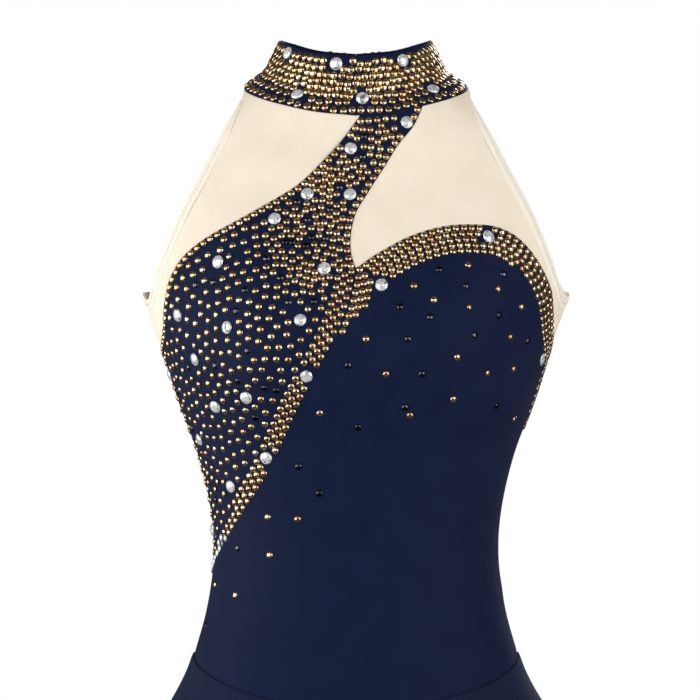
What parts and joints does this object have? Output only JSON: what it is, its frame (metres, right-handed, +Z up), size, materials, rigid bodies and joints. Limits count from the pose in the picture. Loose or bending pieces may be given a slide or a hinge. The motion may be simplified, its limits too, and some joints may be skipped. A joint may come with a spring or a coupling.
{
  "type": "figure skating dress",
  "caption": "Sleeveless figure skating dress with a stand collar, sheer yoke, slanting halter front, low scooped back, flared skirt and attached briefs, worn form.",
  "frame": {"origin": "middle of the neck at the level of the foot of the collar, where the wearer's neck holds the dress", "axes": "+Z up, -Y towards the front of the dress, +X towards the wearer's left, which is the viewer's right"},
  "size_m": [0.5383, 0.4587, 0.7241],
  "materials": {
    "navy_stretch": "smooth matt knitted stretch cloth with a faint sheen",
    "sheer_mesh": "fine nude stretch mesh, matt",
    "gold_stone": "foil-backed cut glass, gold to amber",
    "jet_stone": "black cut glass",
    "clear_stone": "foil-backed cut clear glass"
  },
  "bodies": {
    "root": {"halter_front": "navy_stretch", "bodice_front": "navy_stretch", "bodice_back": "navy_stretch", "yoke_right": "sheer_mesh", "yoke_left": "sheer_mesh", "back_yoke_left": "sheer_mesh", "back_yoke_right": "sheer_mesh", "armhole_edge_left": "sheer_mesh", "armhole_edge_right": "sheer_mesh", "collar": "navy_stretch", "collar_button_lower": "navy_stretch", "collar_button_upper": "navy_stretch", "skirt_front": "navy_stretch", "skirt_back": "navy_stretch", "briefs_front": "navy_stretch", "briefs_back": "navy_stretch"}
  },
  "joints": []
}
